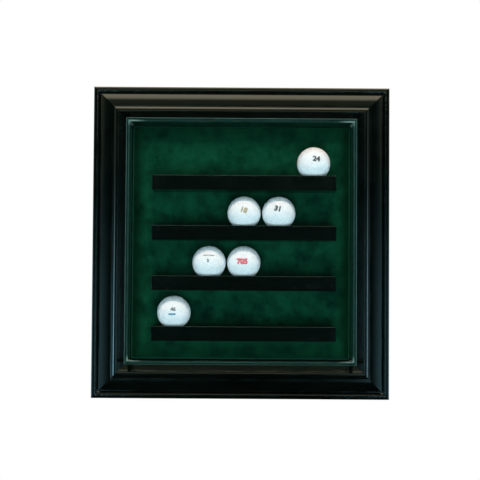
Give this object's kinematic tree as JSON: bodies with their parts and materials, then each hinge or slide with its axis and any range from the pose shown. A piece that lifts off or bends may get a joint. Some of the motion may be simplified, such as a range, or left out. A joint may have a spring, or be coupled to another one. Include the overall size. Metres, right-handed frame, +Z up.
{
  "type": "golf ball display case",
  "caption": "Wall-hung case for golf balls: black mitred moulding, green felt back, black shelves with round ball seats, and a five-sided glass cover that pulls off forwards.",
  "frame": {"origin": "middle of the back plane, which lies on the wall", "axes": "+Z up, +X to the right as seen from the front, +Y into the wall, so the glass faces -Y"},
  "size_m": [0.3842, 0.0762, 0.4036],
  "materials": {
    "black_lacquer": "satin black lacquer",
    "shelf_black": "matt black paint",
    "hardboard": "smooth brown hardboard",
    "fibreboard": "sanded fibreboard",
    "green_felt": "dark green suede felt",
    "clear_glass": "clear float glass, green edges",
    "clear_silicone": "clear silicone",
    "plain_steel": "bright zinc plate",
    "zinc_screws": "zinc plated",
    "ball_white": "glossy white cover"
  },
  "bodies": {
    "case": {"rail_bottom": "black_lacquer", "rail_left": "black_lacquer", "rail_top": "black_lacquer", "rail_right": "black_lacquer", "corner_nails": "plain_steel", "backing_board": "hardboard", "backing_screws": "zinc_screws", "platform_board": "fibreboard", "platform_screws": "zinc_screws", "felt_cover": "green_felt", "shelf_screws": "zinc_screws", "keyhole_plate_left": "plain_steel", "keyhole_plate_right": "plain_steel", "keyhole_screws": "zinc_screws", "shelf_1": "shelf_black", "shelf_2": "shelf_black", "shelf_3": "shelf_black", "shelf_4": "shelf_black"},
    "glass_cover": {"glass_front": "clear_glass", "glass_top": "clear_glass", "glass_bottom": "clear_glass", "glass_left": "clear_glass", "glass_right": "clear_glass", "silicone_seams": "clear_silicone"},
    "ball_1": {"golf_ball_1": "ball_white"},
    "ball_2": {"golf_ball_2": "ball_white"},
    "ball_3": {"golf_ball_3": "ball_white"},
    "ball_4": {"golf_ball_4": "ball_white"},
    "ball_5": {"golf_ball_5": "ball_white"},
    "ball_6": {"golf_ball_6": "ball_white"}
  },
  "joints": [
    {"name": "cover_pull", "type": "slide", "parent": "case", "child": "glass_cover", "axis": [0, -1, 0], "range_m": [0, 0.06]},
    {"name": "ball_1_lift", "type": "slide", "parent": "case", "child": "ball_1", "axis": [0, 0, 1], "range_m": [0, 0.0055]},
    {"name": "ball_2_lift", "type": "slide", "parent": "case", "child": "ball_2", "axis": [0, 0, 1], "range_m": [0, 0.0055]},
    {"name": "ball_3_lift", "type": "slide", "parent": "case", "child": "ball_3", "axis": [0, 0, 1], "range_m": [0, 0.0055]},
    {"name": "ball_4_lift", "type": "slide", "parent": "case", "child": "ball_4", "axis": [0, 0, 1], "range_m": [0, 0.0055]},
    {"name": "ball_5_lift", "type": "slide", "parent": "case", "child": "ball_5", "axis": [0, 0, 1], "range_m": [0, 0.0055]},
    {"name": "ball_6_lift", "type": "slide", "parent": "case", "child": "ball_6", "axis": [0, 0, 1], "range_m": [0, 0.0055]}
  ]
}
